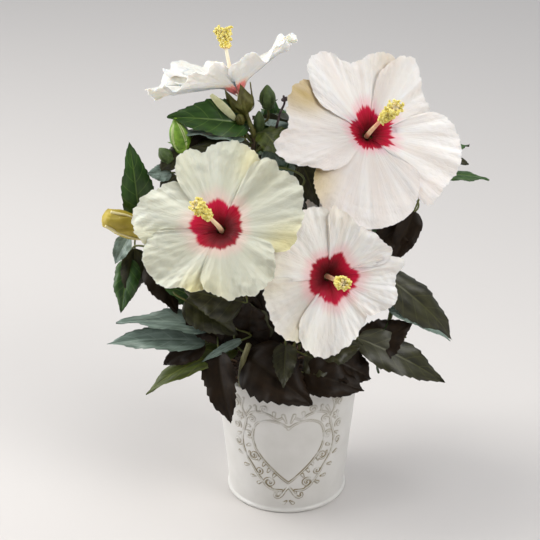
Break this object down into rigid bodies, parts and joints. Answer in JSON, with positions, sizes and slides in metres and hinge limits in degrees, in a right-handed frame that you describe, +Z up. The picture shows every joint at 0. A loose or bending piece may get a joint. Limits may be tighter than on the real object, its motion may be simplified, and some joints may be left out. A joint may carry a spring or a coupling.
{
  "type": "potted hibiscus shrub",
  "caption": "Small patio hibiscus in bloom: a short forked trunk with boughs, glossy toothed leaves and large open blooms, in a tapered pressed-metal pot.",
  "frame": {"origin": "middle of the pot's flat underside", "axes": "+Z up along the pot's axis, -Y towards the side that the blooms face, +X to the right seen from there"},
  "size_m": [0.344, 0.2781, 0.4353],
  "materials": {
    "pot_metal": "cream-white satin enamel on pressed sheet, with a worn tan wash in the embossing",
    "compost": "dark crumbly compost",
    "bark": "thin grey-brown bark, green on young wood",
    "bloom": "soft crinkled white petals with a crimson eye and a yellow column",
    "bud": "matt green and yellow sepals and rolled petals",
    "foliage": "glossy dark green toothed leaves"
  },
  "bodies": {
    "root": {"pot": "pot_metal", "soil": "compost", "trunk": "bark", "bough_front_left": "bark", "bough_low_left": "bark", "bough_left": "bark", "bough_top_left": "bark", "bough_top_right": "bark", "bough_right_top": "bark", "bough_right": "bark", "bough_front": "bark", "bough_back": "bark", "bough_back_low": "bark", "bough_back_top": "bark", "bough_back_left": "bark", "bough_back_right": "bark", "bloom_left": "bloom", "bloom_right": "bloom", "bloom_low": "bloom", "bloom_top": "bloom", "bloom_back": "bloom", "bud_left": "bud", "bud_top": "bud", "leaves_centre": "foliage", "leaves_top": "foliage", "leaves_under_left": "foliage", "leaves_front_low": "foliage", "leaves_upper_left": "foliage", "leaves_left": "foliage", "leaves_left_hanging": "foliage", "leaves_low_left": "foliage", "leaves_low_left_tip": "foliage", "leaves_over_rim_left": "foliage", "leaves_over_rim_front": "foliage", "leaves_over_rim_right": "foliage", "leaves_right_low": "foliage", "leaves_right": "foliage", "leaves_right_top": "foliage", "leaves_crown_back": "foliage", "leaves_back": "foliage", "leaves_back_left": "foliage", "leaves_back_right": "foliage", "leaves_back_low": "foliage", "leaves_back_low_right": "foliage", "leaves_back_low_left": "foliage"}
  },
  "joints": []
}
